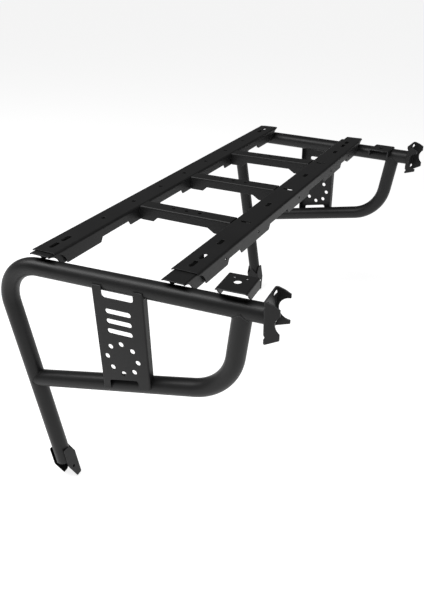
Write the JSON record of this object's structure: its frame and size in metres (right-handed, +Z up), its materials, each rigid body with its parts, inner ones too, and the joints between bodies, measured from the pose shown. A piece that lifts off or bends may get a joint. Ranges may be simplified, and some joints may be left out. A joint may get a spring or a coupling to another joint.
{
  "type": "cargo bed rack",
  "caption": "Black powder-coated bed rack: two bent-tube side frames with leg feet and cage saddles, joined by a slotted ladder deck.",
  "frame": {"origin": "middle of the bounding box, at its lowest point (the tips of the feet)", "axes": "+X from the legs toward the cage saddles (toward the cab), +Y to the left along the rails, +Z up"},
  "size_m": [0.73, 1.3306, 0.7271],
  "materials": {
    "deck_powder_coat": "satin black powder coat on 3 mm folded steel",
    "tube_powder_coat": "satin black powder coat on steel tube",
    "plate_powder_coat": "satin black powder coat on steel plate"
  },
  "bodies": {
    "deck": {"rear_rail": "deck_powder_coat", "front_rail": "deck_powder_coat", "center_rung": "deck_powder_coat", "left_rung": "deck_powder_coat", "right_rung": "deck_powder_coat"},
    "left_side_frame": {"left_hoop_tube": "tube_powder_coat", "left_lower_tube": "tube_powder_coat", "left_gusset_plate": "plate_powder_coat", "left_accessory_bracket": "plate_powder_coat", "left_cage_saddle": "plate_powder_coat", "left_foot_bracket": "plate_powder_coat", "left_rear_rail_bracket": "plate_powder_coat", "left_front_rail_bracket": "plate_powder_coat"},
    "right_side_frame": {"right_hoop_tube": "tube_powder_coat", "right_lower_tube": "tube_powder_coat", "right_gusset_plate": "plate_powder_coat", "right_accessory_bracket": "plate_powder_coat", "right_cage_saddle": "plate_powder_coat", "right_foot_bracket": "plate_powder_coat", "right_rear_rail_bracket": "plate_powder_coat", "right_front_rail_bracket": "plate_powder_coat"}
  },
  "joints": [
    {"name": "left_frame_slide", "type": "slide", "parent": "deck", "child": "left_side_frame", "axis": [0, 1, 0], "range_m": [-0.012, 0.032]},
    {"name": "right_frame_slide", "type": "slide", "parent": "deck", "child": "right_side_frame", "axis": [0, -1, 0], "range_m": [-0.012, 0.032]}
  ]
}
